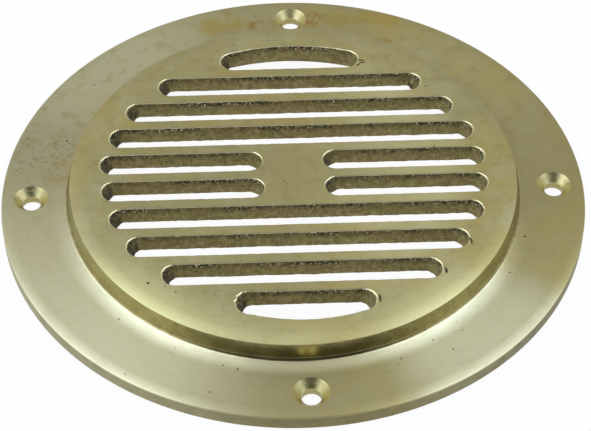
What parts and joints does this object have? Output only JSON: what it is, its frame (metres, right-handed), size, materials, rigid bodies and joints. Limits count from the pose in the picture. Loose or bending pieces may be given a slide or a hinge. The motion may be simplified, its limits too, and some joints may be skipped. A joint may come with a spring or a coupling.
{
  "type": "vent grate",
  "caption": "Round cast brass vent grate: a flat flange with countersunk screw holes around a raised disc cut by rows of long round-ended slots, hollow underneath.",
  "frame": {"origin": "middle of the flange's back face", "axes": "+Z out of the grate, away from what it is screwed to; X along the slots; -Y towards the viewer of the picture"},
  "size_m": [0.165, 0.165, 0.0105],
  "materials": {
    "cast_brass": "satin polished face with light tarnish, rough as-cast slot walls and back"
  },
  "bodies": {
    "root": {"vent_grate": "cast_brass"}
  },
  "joints": []
}
